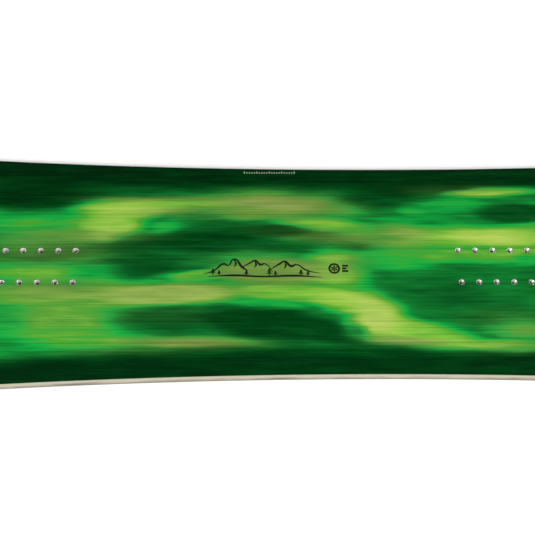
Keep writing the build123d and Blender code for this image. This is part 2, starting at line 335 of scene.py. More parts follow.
def make_topsheet():
    """Polyamide over a stain print: satin, with the core's glue lines just showing through."""
    material, tree, shader, place = start_material(
        "stained topsheet under clear polyamide", Roughness=0.2, Specular_IOR_Level=0.2
    )
    # the run of the stain: features about 160 by 30 mm that move a point by up to 8 by 4 mm
    coarse = add(tree, "Mapping", {"Vector": place, "Scale": (6, 32, 0)})
    drift = add(tree, "TexNoise", {"Vector": coarse, "Scale": 1, "Detail": 2}).outputs["Color"]
    fine = add(tree, "Mapping", {"Vector": place, "Scale": (18, 150, 0)})
    fine = add(tree, "TexNoise", {"Vector": fine, "Scale": 1, "Detail": 3})
    drift = add(tree, "VectorMath", {0: drift, 1: (0.5, 0.5, 0.5)}, operation="SUBTRACT")
    drift = add(tree, "VectorMath", {0: drift, 1: (0.030, 0.014, 0)}, operation="MULTIPLY")
    feather = {0: fine.outputs["Color"], 1: (0.5, 0.5, 0.5)}
    feather = add(tree, "VectorMath", feather, operation="SUBTRACT")
    feather = add(tree, "VectorMath", {0: feather, 1: (0.012, 0.003, 0)}, operation="MULTIPLY")
    point = add(tree, "VectorMath", {0: place, 1: drift}, operation="ADD")
    point = add(tree, "VectorMath", {0: point, 1: feather}, operation="ADD")

    loose = add(tree, "Mapping", {"Vector": point, "Scale": (4.5, 17, 0), "Location": (3.1, 1.7, 0)})
    loose = add(tree, "TexNoise", {"Vector": loose, "Scale": 1, "Detail": 1}).outputs["Fac"]
    lightness = add(tree, "MapRange", {"Value": loose, "From Min": 0.36, "From Max": 0.66, "To Max": 0.9})
    for *ellipse, level, softness in WASHES:
        share = inside_ellipse(tree, point, *ellipse, softness)
        lightness = add(tree, "Mix", {0: share, 2: lightness, 3: level}, data_type="FLOAT")

    # dark borders along both sides
    apart = add(tree, "SeparateXYZ", {0: point})
    along = add(tree, "Math", {0: apart.outputs["X"], 1: WAIST_X}, operation="SUBTRACT")
    along = add(tree, "Math", {0: along, 1: 2}, operation="POWER")
    across = add(tree, "Math", {0: apart.outputs["Y"]}, operation="ABSOLUTE")
    rise = {0: along, 1: -0.5 / SIDECUT_RADIUS, 2: across}
    across = add(tree, "Math", rise, operation="MULTIPLY_ADD")
    border = {"Value": across, "From Min": 0.092, "From Max": 0.112}
    border = add(tree, "MapRange", border, interpolation_type="SMOOTHSTEP")
    depth = {"Value": apart.outputs["X"], "From Min": -0.25, "From Max": 0.10, "To Min": 0.0, "To Max": 0.06}
    depth = add(tree, "MapRange", depth)
    lightness = add(tree, "Mix", {0: border, 2: lightness, 3: depth}, data_type="FLOAT")

    # streaks a millimetre or two wide, left by the squeegee, and the stain's own unevenness
    thin = add(tree, "Mapping", {"Vector": place, "Scale": (5, 620, 0)})
    thin = {"Vector": thin, "Scale": 1, "Detail": 4, "Roughness": 0.6}
    streaks = add(tree, "TexNoise", thin).outputs["Fac"]
    for uneven, most in ((streaks, 0.04), (fine.outputs["Fac"], 0.06)):
        shift = {"Value": uneven, "From Min": 0.3, "From Max": 0.7, "To Min": -most, "To Max": most}
        shift = add(tree, "MapRange", shift)
        lightness = add(tree, "Math", {0: lightness, 1: shift}, operation="ADD")
    brown = 0.0
    for *ellipse, level, softness in BROWNED:
        share = inside_ellipse(tree, point, *ellipse, softness)
        brown = add(tree, "Mix", {0: share, 2: brown, 3: level}, data_type="FLOAT")
    tints = {0: brown}
    for socket, stops in ((6, STAIN_COLOURS), (7, KHAKI_COLOURS)):
        tints[socket] = add(tree, "ValToRGB", {0: lightness})
        elements = tints[socket].color_ramp.elements
        while len(elements) < len(stops):
            elements.new(0.5)
        for element, (position, colour) in zip(elements, stops):
            element.position = position
            element.color = linear(colour)
    colour = add(tree, "Mix", tints, data_type="RGBA")

    shade = {"Value": streaks, "From Min": 0.25, "From Max": 0.75, "To Min": 0.92, "To Max": 1.06}
    colour = {0: 1.0, 6: colour, 7: add(tree, "MapRange", shade)}
    colour = add(tree, "Mix", colour, data_type="RGBA", blend_type="MULTIPLY").outputs[2]

    # the glue lines of the core telegraph through as hair-thin valleys, and the colour is darkened along them as
    # painted shade
    straight = add(tree, "SeparateXYZ", {0: place}).outputs["Y"]
    straight = add(tree, "Math", {0: straight}, operation="ABSOLUTE")
    valley = None
    for line in GLUE_LINES:
        off = add(tree, "Math", {0: straight, 1: line}, operation="SUBTRACT")
        off = add(tree, "Math", {0: off}, operation="ABSOLUTE")
        near = {"Value": off, "From Min": 0.0, "From Max": 0.0016, "To Min": 1.0, "To Max": 0.0}
        near = add(tree, "MapRange", near, interpolation_type="SMOOTHSTEP")
        valley = near if valley is None else add(tree, "Math", {0: valley, 1: near}, operation="MAXIMUM")
    # painted shade in the valleys: the colour is darkened to 0.8 along the glue lines
    dark = add(tree, "MapRange", {"Value": valley, "To Min": 1.0, "To Max": 0.80})
    colour = {0: 1.0, 6: colour, 7: dark}
    colour = add(tree, "Mix", colour, data_type="RGBA", blend_type="MULTIPLY").outputs[2]
    tree.links.new(colour, shader.inputs["Base Color"])

    height = add(tree, "Math", {0: streaks, 1: 0.25}, operation="MULTIPLY")
    height = add(tree, "Math", {0: height, 1: valley}, operation="SUBTRACT")
    normal = add(tree, "Bump", {"Height": height, "Distance": 0.00006, "Strength": 1.0})
    tree.links.new(normal.outputs[0], shader.inputs["Normal"])
    return material


topsheet_print = make_topsheet()
print(topsheet_print.name, "nodes:", len(topsheet_print.node_tree.nodes))

# %% [markdown]
# The sidewalls and the tip spacers are cream ABS, a tough plastic that is pressed with the board and
# then milled to a slope, which leaves it matt with fine lines along the board.

# %% Sidewall plastic
def make_sidewall():
    """Milled cream ABS: matt, a little mottled, with the cutter's lines along it, and painted shade towards its
    foot.
    """
    material, tree, shader, place = start_material("milled cream ABS", Roughness=0.5, IOR=1.52)
    mottle = add(tree, "Mapping", {"Vector": place, "Scale": (30, 160, 160)})
    mottle = add(tree, "TexNoise", {"Vector": mottle, "Scale": 1, "Detail": 3}).outputs["Fac"]
    lines = add(tree, "Mapping", {"Vector": place, "Scale": (6, 900, 2600)})  # a line each 0.4 mm
    lines = add(tree, "TexNoise", {"Vector": lines, "Scale": 1, "Detail": 3}).outputs["Fac"]
    # painted shade: the wall is darker towards its foot and pale towards its top, with the mottle between
    height = add(tree, "SeparateXYZ", {0: place}).outputs["Z"]
    share = {"Value": height, "From Min": CORE_BOTTOM, "From Max": CORE_TOP, "To Min": 0.0, "To Max": 0.8}
    share = add(tree, "Math", {0: add(tree, "MapRange", share), 1: mottle}, operation="ADD", use_clamp=True)
    share = add(tree, "Math", {0: share, 1: 0.38}, operation="SUBTRACT", use_clamp=True)
    colour = {0: share, 6: linear("#57523F"), 7: linear("#CBC3AD")}
    tree.links.new(add(tree, "Mix", colour, data_type="RGBA").outputs[2], shader.inputs["Base Color"])
    bump = add(tree, "Bump", {"Height": lines, "Distance": 0.00004})
    tree.links.new(bump.outputs[0], shader.inputs["Normal"])
    return material


sidewall_abs = make_sidewall()

# %% [markdown]
# The laminate is glass cloth set in epoxy. Only its edge shows, as a thin line that is a little
# greener than the sidewall, with the cut ends of the threads in it.

# %% Glass laminate
def make_laminate():
    """Glass cloth in epoxy, cut through: pale green, with thread ends 0.8 mm apart."""
    material, tree, shader, place = start_material("glass cloth in epoxy", Roughness=0.35, IOR=1.55)
    threads = add(tree, "Mapping", {"Vector": place, "Scale": (1250, 1250, 400)})
    threads = add(tree, "TexVoronoi", {"Vector": threads, "Scale": 1}).outputs["Distance"]
    colour = {0: threads, 6: linear("#7E7B63"), 7: linear("#A09C82")}
    tree.links.new(add(tree, "Mix", colour, data_type="RGBA").outputs[2], shader.inputs["Base Color"])
    bump = add(tree, "Bump", {"Height": threads, "Distance": 0.00003})
    tree.links.new(bump.outputs[0], shader.inputs["Normal"])
    return material


glass_laminate = make_laminate()

# %% [markdown]
# The edge is hardened carbon steel, ground along its length. A metal takes its colour from its base
# colour alone, so it keeps the default IOR, and the grinding shows as fine lines that spread a
# highlight across them.

# %% Steel edge
def make_edge_steel():
    """Ground carbon steel: grey, fairly bright, with grinding lines 0.3 mm apart."""
    material, tree, shader, place = start_material("ground carbon steel", Metallic=1.0)
    grind = add(tree, "Mapping", {"Vector": place, "Scale": (12, 3300, 3300)})
    grind = add(tree, "TexNoise", {"Vector": grind, "Scale": 1, "Detail": 4}).outputs["Fac"]
    colour = {0: grind, 6: linear("#4C4840"), 7: linear("#6E695F")}
    tree.links.new(add(tree, "Mix", colour, data_type="RGBA").outputs[2], shader.inputs["Base Color"])
    rough = add(tree, "MapRange", {"Value": grind, "To Min": 0.28, "To Max": 0.48})
    tree.links.new(rough.outputs[0], shader.inputs["Roughness"])
    bump = add(tree, "Bump", {"Height": grind, "Distance": 0.00002})
    tree.links.new(bump.outputs[0], shader.inputs["Normal"])
    return material


edge_steel = make_edge_steel()

# %% [markdown]
# The base is sintered polyethylene with carbon black in it. It is ground on a stone, which leaves a
# pattern of fine grooves along the board that lets water out from under it.

# %% Base
def make_base():
    """Stone-ground sintered polyethylene: waxy black, with grooves along the board."""
    material, tree, shader, place = start_material(
        "stone-ground sintered polyethylene", Roughness=0.34, IOR=1.51
    )
    grooves = add(tree, "Mapping", {"Vector": place, "Scale": (2.5, 1400, 0)})  # grooves 0.7 mm apart
    grooves = add(tree, "TexNoise", {"Vector": grooves, "Scale": 1, "Detail": 3}).outputs["Fac"]
    bloom = add(tree, "Mapping", {"Vector": place, "Scale": (5, 18, 0)})
    bloom = add(tree, "TexNoise", {"Vector": bloom, "Scale": 1, "Detail": 4}).outputs["Fac"]
    grey = add(tree, "Math", {0: grooves, 1: bloom}, operation="MULTIPLY")
    colour = {0: grey, 6: linear("#121314"), 7: linear("#3A3C3F")}
    tree.links.new(add(tree, "Mix", colour, data_type="RGBA").outputs[2], shader.inputs["Base Color"])
    bump = add(tree, "Bump", {"Height": grooves, "Distance": 0.00005})
    tree.links.new(bump.outputs[0], shader.inputs["Normal"])
    return material


sintered_base = make_base()

# %% [markdown]
# The core never shows on a finished board, but each strip is still wood: poplar for lightness, with
# denser beech in the strips that carry the rider's heels and toes. Wood grain is a noise stretched
# along the strip, and the growth rings come through as soft bands across it.

# %% Core woods
def make_wood(name, pale, dark, ring_width):
    """Planed wood: matt, with grain along the strip."""
    material, tree, shader, place = start_material(name, Roughness=0.6, IOR=1.5)
    rings = add(tree, "Mapping", {"Vector": place, "Scale": (1.5, 1 / ring_width, 1 / ring_width)})
    rings = add(tree, "TexNoise", {"Vector": rings, "Scale": 1, "Detail": 3, "Distortion": 0.6}).outputs["Fac"]
    pores = add(tree, "Mapping", {"Vector": place, "Scale": (70, 1800, 1800)})
    pores = add(tree, "TexNoise", {"Vector": pores, "Scale": 1, "Detail": 2}).outputs["Fac"]
    share = add(tree, "Math", {0: rings, 1: pores}, operation="MULTIPLY")
    share = add(tree, "MapRange", {"Value": share, "From Min": 0.12, "From Max": 0.42})
    colour = {0: share, 6: linear(dark), 7: linear(pale)}
    tree.links.new(add(tree, "Mix", colour, data_type="RGBA").outputs[2], shader.inputs["Base Color"])
    bump = add(tree, "Bump", {"Height": pores, "Distance": 0.00003})
    tree.links.new(bump.outputs[0], shader.inputs["Normal"])
    return material


poplar = make_wood("planed poplar", "#DEC7A0", "#B89468", 0.005)
beech = make_wood("planed beech", "#BF9468", "#8C6240", 0.003)

# %% [markdown]
# The inserts are turned from stainless steel, so their lines run round each one. The foil on the
# edge's tang is black rubber that damps the joint between steel and glass.

# %% Insert steel and edge rubber
def make_insert_steel():
    """Turned stainless steel: bright, with faint tool marks."""
    material, tree, shader, place = start_material("turned stainless steel", Metallic=1.0)
    marks = add(tree, "Mapping", {"Vector": place, "Scale": (900, 900, 4000)})
    marks = add(tree, "TexNoise", {"Vector": marks, "Scale": 1, "Detail": 2}).outputs["Fac"]
    colour = {0: marks, 6: linear("#DDD6D1"), 7: linear("#F4F0EC")}
    tree.links.new(add(tree, "Mix", colour, data_type="RGBA").outputs[2], shader.inputs["Base Color"])
    rough = add(tree, "MapRange", {"Value": marks, "To Min": 0.24, "To Max": 0.40})
    tree.links.new(rough.outputs[0], shader.inputs["Roughness"])
    return material


def make_rubber():
    """Vulcanised rubber foil: matt black with a fine grain."""
    material, tree, shader, place = start_material("vulcanised rubber foil", Roughness=0.75)
    grain = add(tree, "TexNoise", {"Vector": place, "Scale": 2500, "Detail": 2}).outputs["Fac"]
    colour = {0: grain, 6: linear("#141414"), 7: linear("#232323")}
    tree.links.new(add(tree, "Mix", colour, data_type="RGBA").outputs[2], shader.inputs["Base Color"])
    bump = add(tree, "Bump", {"Height": grain, "Distance": 0.00004})
    tree.links.new(bump.outputs[0], shader.inputs["Normal"])
    return material


insert_steel = make_insert_steel()
edge_rubber = make_rubber()
print("materials:", [material.name for material in bpy.data.materials])

# %% [markdown]
# The outline is a chain of arcs that run smoothly into each other: tip, shoulder, flare, the long
# sidecut, and the same back again at the tail. Each arc needs only its centre and how far it turns,
# so a vertex is put at the nose tip and spun about each centre in turn.

# %% Arcs of the outline
STEP_ANGLE = radians(2)
STEP_LENGTH = 0.020


def arcs_of_end(sidecut_x, widest_x, shoulder):
    """Centre, radius and turn of the tip, shoulder and flare arcs of one end."""
    end = 1 if widest_x > 0 else -1
    bend = asin(abs(sidecut_x - WAIST_X) / SIDECUT_RADIUS)
    run = abs(widest_x - sidecut_x)
    sidecut_y = HALF_WAIST + SIDECUT_RADIUS * (1 - cos(bend))
    widest_y = sidecut_y + run * tan(bend / 2)
    flare = run / sin(bend)
    length = TIP_X - abs(widest_x)
    tip = (length**2 + (widest_y - shoulder) ** 2 - shoulder**2) / (2 * (length - shoulder))
    tip_centre = Vector((end * (TIP_X - tip), 0, 0))
    shoulder_centre = Vector((widest_x, widest_y - shoulder, 0))
    meeting = shoulder_centre + (shoulder_centre - tip_centre) * (shoulder / (tip - shoulder))
    tip_turn = atan2(meeting.y, abs(meeting.x - tip_centre.x))
    flare_centre = Vector((widest_x, widest_y - flare, 0))
    return [
        (tip_centre, tip, -tip_turn),
        (shoulder_centre, shoulder, tip_turn - pi / 2),
        (flare_centre, flare, -bend),
    ]


nose_arcs, tail_arcs = (arcs_of_end(*sizes) for sizes in zip(SIDECUT_ENDS, WIDEST, SHOULDER_RADII))
sidecut_centre = Vector((WAIST_X, HALF_WAIST + SIDECUT_RADIUS, 0))
sidecut_arc = (sidecut_centre, SIDECUT_RADIUS, -nose_arcs[2][2] - tail_arcs[2][2])
ARCS = [*nose_arcs, sidecut_arc, *reversed(tail_arcs)]
arc_ends, end = [], Vector((-TIP_X, 0, 0))
for centre, radius, turn in ARCS:
    end = centre + Matrix.Rotation(turn, 3, "Z") @ (end - centre)
    arc_ends.append(end.x)
    print("radius", round(radius, 3), "turn", round(degrees(turn), 1), "ends at", round(end.x, 3))
arc_ends[-1] += 1  # nothing lies beyond the last

# %% [markdown]
# Every shell starts as a flat sheet: the outline, drawn in by an inset, mirrored and filled, or a
# ring, for which a short edge across it is spun instead of a vertex. The sheet is thickened to a
# slab, and last of all it is pressed, as a board is in its mould, so the shapes stay simple.

# %% Flat sheets
def arc_steps(radius, turn):
    """How many steps an arc is drawn in."""
    return ceil(max(abs(turn) / STEP_ANGLE, radius * abs(turn) / STEP_LENGTH))


def draw_outline(bm, inset):
    """Adds the closed outline, drawn in by the inset, and returns its edges."""
    already = set(bm.edges)
    last = bm.verts.new((-TIP_X + inset, 0, 0))
    for centre, radius, turn in ARCS:
        steps = arc_steps(radius, turn)
        spun = bmesh.ops.spin(bm, geom=[last], cent=centre, axis=(0, 0, 1), angle=turn, steps=steps)
        last = next(item for item in spun["geom_last"] if isinstance(item, bmesh.types.BMVert))
    half = [edge for edge in bm.edges if edge not in already]
    verts = list({vert for edge in half for vert in edge.verts})
    bmesh.ops.mirror(bm, geom=verts + half, axis="Y", merge_dist=1e-6)
    return [edge for edge in bm.edges if edge not in already]


def flat_sheet(inset):
    """The whole outline as one face."""
    bm = bmesh.new()
    bmesh.ops.contextual_create(bm, geom=draw_outline(bm, inset))
    return bm


def half_ring(outer_inset, inner_inset, side):
    """One side's half of the ring between two outlines."""
    bm = bmesh.new()
    verts = [bm.verts.new((-TIP_X + inset, 0, 0)) for inset in (outer_inset, inner_inset)]
    section = [*verts, bm.edges.new(verts)]
    for centre, radius, turn in ARCS:
        place = Vector((centre.x, centre.y * side, 0))
        spun = bmesh.ops.spin(
            bm, geom=section, cent=place, axis=(0, 0, 1), angle=turn * side, steps=arc_steps(radius, turn)
        )
        section = spun["geom_last"]
    return bm


def cut_across(bm, axis, places):
    """Cuts the mesh's faces where they cross those places on the axis, 0 for X and 1 for Y."""
    normal = Vector((axis == 0, axis == 1, 0))
    for place in places:
        geom = bm.verts[:] + bm.edges[:] + bm.faces[:]
        bmesh.ops.bisect_plane(bm, geom=geom, dist=1e-6, plane_co=normal * place, plane_no=normal)


def keep_beyond(bm, axis, place, side):
    """Keeps what lies on one side of that place on the axis."""
    normal = Vector((axis == 0, axis == 1, 0)) * side
    geom = bm.verts[:] + bm.edges[:] + bm.faces[:]
    point = normal * side * place
    bmesh.ops.bisect_plane(bm, geom=geom, dist=1e-6, plane_co=point, plane_no=normal, clear_inner=True)


def thicken(bm, low, high, rounding=0):
    """Turns the flat sheet into a closed slab between two heights, its top corners rounded if asked."""
    bmesh.ops.translate(bm, vec=(0, 0, low), verts=bm.verts)
    raised = bmesh.ops.extrude_face_region(bm, geom=bm.faces[:], use_keep_orig=True)["geom"]
    verts = [item for item in raised if isinstance(item, bmesh.types.BMVert)]
    bmesh.ops.translate(bm, vec=(0, 0, high - low), verts=verts)
    bmesh.ops.recalc_face_normals(bm, faces=bm.faces)
    if bm.calc_volume(signed=True) < 0:
        bmesh.ops.reverse_faces(bm, faces=bm.faces)
    if rounding:
        top = {item for item in raised if isinstance(item, bmesh.types.BMFace)}
        rim = [edge for edge in bm.edges if len(top.intersection(edge.link_faces)) == 1]
        bmesh.ops.bevel(
            bm, geom=rim, offset=rounding, segments=2, profile=0.5, affect="EDGES", material=-1
        )


trial = flat_sheet(0)
print("outline corners:", len(trial.verts), "area:", round(sum(face.calc_area() for face in trial.faces), 4))
trial.free()

# %% [markdown]
# Pressing does three things to a slab. The core thins towards the tips, so heights above it sink
# with it. The milled slope leans the outside in, by an amount that grows with height. And beyond
# the contacts the nose and tail turn up along an arc.

# %% Pressing
TAPER_ENDS = tuple(zip(PLATEAU, CONTACTS))


def thinned(x):
    """How much of the core's taper is done at x: 0 on the plateau, 1 from the contact on."""
    plateau, contact = TAPER_ENDS[x > 0]
    share = min(max((x - plateau) / (contact - plateau), 0), 1)
    along = share
    for _ in range(6):  # Newton's steps towards the curve's own measure at that share
        rise = 1.5 * along - 1.5 * along**2 + along**3 - share
        along -= rise / (1.5 - 3 * along + 3 * along**2)
    return along * along * (3 - 2 * along)


def true_height(x, height):
    """The height at x of what is at this height under the bindings."""
    lost = (CORE_TOP - CORE_BOTTOM - TIP_CORE) * thinned(x)
    in_core = min(max((height - CORE_BOTTOM) / (CORE_TOP - CORE_BOTTOM), 0), 1)
    return height - lost * in_core


def lift(x, height):
    """Z of that height above the running surface at x."""
    past = max(CONTACTS[0] - x, x - CONTACTS[1], 0)
    return KICK_RADIUS - sqrt((KICK_RADIUS - height) ** 2 - past**2)


def from_side(point):
    """How far a point is in from the outline, and the way in."""
    centre, radius, turn = next(arc for arc, end in zip(ARCS, arc_ends) if point.x < end)
    arm = Vector((point.x - centre.x, abs(point.y) - centre.y, 0))
    side = 1 if turn > 0 else -1  # the sidecut's centre is outside the board
    inward = arm.normalized() * side
    inward.y = -inward.y if point.y < 0 else inward.y
    return (arm.length - radius) * side, inward


def press(bm):
    """Bends the flat slab to the board's shape."""
    for vert in bm.verts:
        height = true_height(vert.co.x, vert.co.z)
        inset, inward = from_side(vert.co)
        lean = max(height - BEVEL_HEIGHT, 0) * BEVEL_LEAN
        vert.co += inward * lean * max(1 - inset / SIDEWALL_INSET, 0)
        vert.co.z = lift(vert.co.x, height)


print("top of the nose:", round(lift(-TIP_X, true_height(-TIP_X, BOARD_TOP)), 4))

# %% [markdown]
# A finished mesh becomes an object in one way for every piece: faces shade smooth, corners sharper
# than 30 degrees stay crisp, the piece rides on the root body and takes its finish, and the nodes
# that it stands for are hidden.

# %% Finishing a piece
CRISP = radians(30)


def finish(bm, name, material, slot, *nodes):
    """Turns the mesh into a piece that stands for those nodes."""
    for face in bm.faces:
        face.smooth = True
    for edge in bm.edges:
        edge.smooth = edge.calc_face_angle(0) < CRISP
    mesh = bpy.data.meshes.new(name)
    bm.to_mesh(mesh)
    loose = sum(not edge.is_manifold for edge in bm.edges)
    bm.free()
    mesh.materials.append(material)
    piece = bpy.data.objects.new(name, mesh)
    scene.collection.objects.link(piece)
    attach(piece, "root")
    if nodes:
        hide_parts(*nodes)
    print(name, "faces:", len(mesh.polygons), "open edges:", loose)
    return piece


# %% [markdown]
# Where a sheet turns up it needs closer points, so it is cut across each 5 mm in the nose and tail
# and each 20 mm between. The cuts between the contacts fall midway between the insert columns, so
# that with two cuts either side of a row each insert sits in a square cell of its own.

# %% Stations
def stations():
    """Places along the board where a sheet is cut across."""
    middle = [columns[0] - PITCH / 2 + PITCH * n for n in range(-13, 45)]
    middle = [x for x in middle if CONTACTS[0] < x < CONTACTS[1]]
    nose = [CONTACTS[0] - 0.005 * n for n in range(42)]
    tail = [CONTACTS[1] + 0.005 * n for n in range(32)]
    return [*nose, *middle, *tail]


STATIONS = stations()
INSERTS = [(x, side * ROW_Y) for side in (-1, 1) for x in columns]


HOLE_SEGMENTS = 48
SIDE_CUTS = HOLE_SEGMENTS // 4 - 1


def open_holes(bm, radius):
    """Swaps the cell round each insert for a ring of faces with a round hole."""
    for row_side in (-1, 1):
        cut_across(bm, 1, [row_side * (ROW_Y - PITCH / 2), row_side * (ROW_Y + PITCH / 2)])
    for x, y in INSERTS:
        place = Vector((x, y, 0))
        cell = min(bm.faces, key=lambda face: (face.calc_center_bounds() - place).length)
        whole = [edge for edge in cell.edges if edge.calc_length() > PITCH / 2]
        bmesh.ops.bisect_edges(bm, edges=whole, cuts=SIDE_CUTS)
        bmesh.ops.inset_individual(bm, faces=[cell], thickness=PITCH / 200)
        for vert in cell.verts:
            vert.co = place + (vert.co - place).normalized() * radius
        bmesh.ops.delete(bm, geom=[cell], context="FACES_ONLY")


print(len(STATIONS), "stations")

# %% [markdown]
# The base is the lowest sheet. The steel edge stands round it, and is rolled with an L section: the
# square bar that cuts the snow and a thin tang that lies on the base and is held by the laminate.
# Each edge is one bar from nose tip to tail tip, so a ring of faces is cut in half along the middle.

# %% Base and edges
base = flat_sheet(EDGE_WIDTH)
cut_across(base, 0, STATIONS)
thicken(base, 0, BASE_THICKNESS)
press(base)
finish(base, "running_base", sintered_base, "base", "base_sheet")


def ring_slab(bm, side, outer_inset, inner_inset, low, high):
    """Adds one side's half of a ring to the mesh, as a closed slab."""
    ring = half_ring(outer_inset, inner_inset, side)
    thicken(ring, low, high)
    slab = bpy.data.meshes.new("slab")
    ring.to_mesh(slab)
    ring.free()
    bm.from_mesh(slab)
    bpy.data.meshes.remove(slab)


for word, side in (("left", -1), ("right", 1)):
    edge = bmesh.new()
    ring_slab(edge, side, 0, EDGE_WIDTH, 0, EDGE_HEIGHT)
    tang_inset = EDGE_WIDTH + TANG_WIDTH
    ring_slab(edge, side, EDGE_WIDTH, tang_inset, BASE_THICKNESS, BASE_THICKNESS + TANG_THICKNESS)
    press(edge)
    finish(edge, word + "_edge", edge_steel, "steel_edge", word + "_steel_edge")

# %% [markdown]
# The laminates are whole sheets under and over the core. The lower one steps down inside the tang
# to meet the base. The plastic round the core is one ring with the sidewalls beside the core and a
# solid spacer at each tip.

# %% Laminates, sidewalls and spacers
lower = flat_sheet(EDGE_WIDTH + TANG_WIDTH)
cut_across(lower, 0, STATIONS)
thicken(lower, BASE_THICKNESS, EDGE_HEIGHT)
step_down = bpy.data.meshes.new("step_down")
lower.to_mesh(step_down)
lower.free()
lower = flat_sheet(0)
cut_across(lower, 0, STATIONS)
thicken(lower, EDGE_HEIGHT, CORE_BOTTOM)
lower.from_mesh(step_down)
bpy.data.meshes.remove(step_down)
press(lower)
finish(lower, "lower_glass", glass_laminate, "laminate", "lower_laminate")

upper = flat_sheet(0)
cut_across(upper, 0, STATIONS)
open_holes(upper, 0.0045)
thicken(upper, CORE_TOP, GLASS_TOP)
press(upper)
finish(upper, "upper_glass", glass_laminate, "laminate", "upper_laminate")

for word, side in (("left", -1), ("right", 1)):
    wall = half_ring(0, SIDEWALL_INSET, side)
    keep_beyond(wall, 0, CORE_ENDS[0], 1)
    keep_beyond(wall, 0, CORE_ENDS[1], -1)
    thicken(wall, CORE_BOTTOM, CORE_TOP)
    press(wall)
    finish(wall, word + "_wall", sidewall_abs, "sidewall", word + "_sidewall")

for word, end, core_end in (("nose", -1, CORE_ENDS[0]), ("tail", 1, CORE_ENDS[1])):
    spacer = flat_sheet(0)
    cut_across(spacer, 0, STATIONS)
    keep_beyond(spacer, 0, core_end, end)
    thicken(spacer, CORE_BOTTOM, CORE_TOP)
    press(spacer)
    finish(spacer, word + "_tip_spacer", sidewall_abs, "tip_spacer", word + "_spacer")

# %% [markdown]
# The topsheet is the sheet that everyone sees. Its holes over the inserts are punched clean, and its
# outer corner is broken by the same sanding that finishes the sidewall.

# %% Topsheet shell
SANDED = 0.00015
top = flat_sheet(0)
cut_across(top, 0, STATIONS)
open_holes(top, MOUTH)
thicken(top, GLASS_TOP, BOARD_TOP, SANDED)
press(top)
finish(top, "printed_topsheet", topsheet_print, "topsheet", "topsheet")

# %% [markdown]
# A binding insert is a steel barrel with a wide flange under it, so that the screw's pull spreads
# over the glass. It is turned, so its section is drawn once and spun. The M6 thread in its bore is a
# small triangle spun along a helix, one millimetre for each turn.

# %% Binding inserts
INSERT_SECTION = (
    # radius and height, up the outside, in at the countersunk mouth and down the bore
    (0.0080, CORE_BOTTOM),
    (0.0080, CORE_BOTTOM + 0.0012),
    (0.0045, CORE_BOTTOM + 0.0012),
    (0.0045, GLASS_TOP),
    (MOUTH, GLASS_TOP),
    (0.0026, GLASS_TOP - 0.0008),
    (0.0030, GLASS_TOP - 0.0012),
    (0.0030, CORE_BOTTOM),
)
THREAD_PITCH = 0.001
THREAD_TURNS = 5
ROUND = 40  # steps to a turn


def one_insert():
    """An insert on the origin's axis, with the thread in its bore."""
    bm = bmesh.new()
    verts = [bm.verts.new((radius, 0, height)) for radius, height in INSERT_SECTION]
    loop = [bm.edges.new(pair) for pair in zip(verts, verts[1:] + verts[:1])]
    bmesh.ops.spin(bm, geom=verts + loop, axis=(0, 0, 1), angle=2 * pi, steps=ROUND, use_merge=True)
    foot = CORE_BOTTOM + 0.0003
    corners = [(0.00302, foot), (0.0026, foot + 0.45 * THREAD_PITCH), (0.00302, foot + 0.9 * THREAD_PITCH)]
    ridge = bm.faces.new([bm.verts.new((radius, 0, height)) for radius, height in corners])
    rise = (0, 0, THREAD_PITCH / ROUND)
    geom = [ridge, *ridge.edges, *ridge.verts]
    steps = THREAD_TURNS * ROUND
    bmesh.ops.spin(bm, geom=geom, axis=(0, 0, 1), angle=THREAD_TURNS * 2 * pi, steps=steps, dvec=rise)
    bmesh.ops.recalc_face_normals(bm, faces=bm.faces)
    return bm


pattern = one_insert()
print("one insert, open edges:", sum(not edge.is_manifold for edge in pattern.edges))
pattern_mesh = bpy.data.meshes.new("pattern")
pattern.to_mesh(pattern_mesh)
pattern.free()
for pack, places in (("front", columns[:6]), ("rear", columns[6:])):
    for word, side in (("left", -1), ("right", 1)):
        row = bmesh.new()
        for x in places:
            already = len(row.verts)
            row.from_mesh(pattern_mesh)
            row.verts.ensure_lookup_table()
            bmesh.ops.translate(row, vec=(x, side * ROW_Y, 0), verts=row.verts[already:])
        finish(row, f"{pack}_{word}_screw_inserts", insert_steel, "insert_steel", f"{pack}_{word}_inserts")
bpy.data.meshes.remove(pattern_mesh)

# %% [markdown]
# The layers that stay as solids get their finish by assignment: seven strips of wood, and the foil
# on the tang of each edge.

# %% Core and foils
finishes = {
    "centre_core_strip": poplar,
    "left_wide_core_strip": poplar,
    "right_wide_core_strip": poplar,
    "left_narrow_core_strip": beech,
    "right_narrow_core_strip": beech,
    "left_outer_core_strip": poplar,
    "right_outer_core_strip": poplar,
    "left_edge_foil": edge_rubber,
    "right_edge_foil": edge_rubber,
}
for name, material in finishes.items():
    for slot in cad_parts[name].material_slots:
        slot.material = material
print("finished solids:", len(finishes))

# %% [markdown]
# The ink on the topsheet is screen printed, so it stands a few hundredths of a millimetre proud. The
# black drawing in the middle is a ridge of mountains with pines, brushed in tapering strokes. A
# curve with a radius at each point draws such a stroke, and pressed almost flat it is an ink line.

# %% Ink
INK_RISE = 0.04  # of a stroke's half width


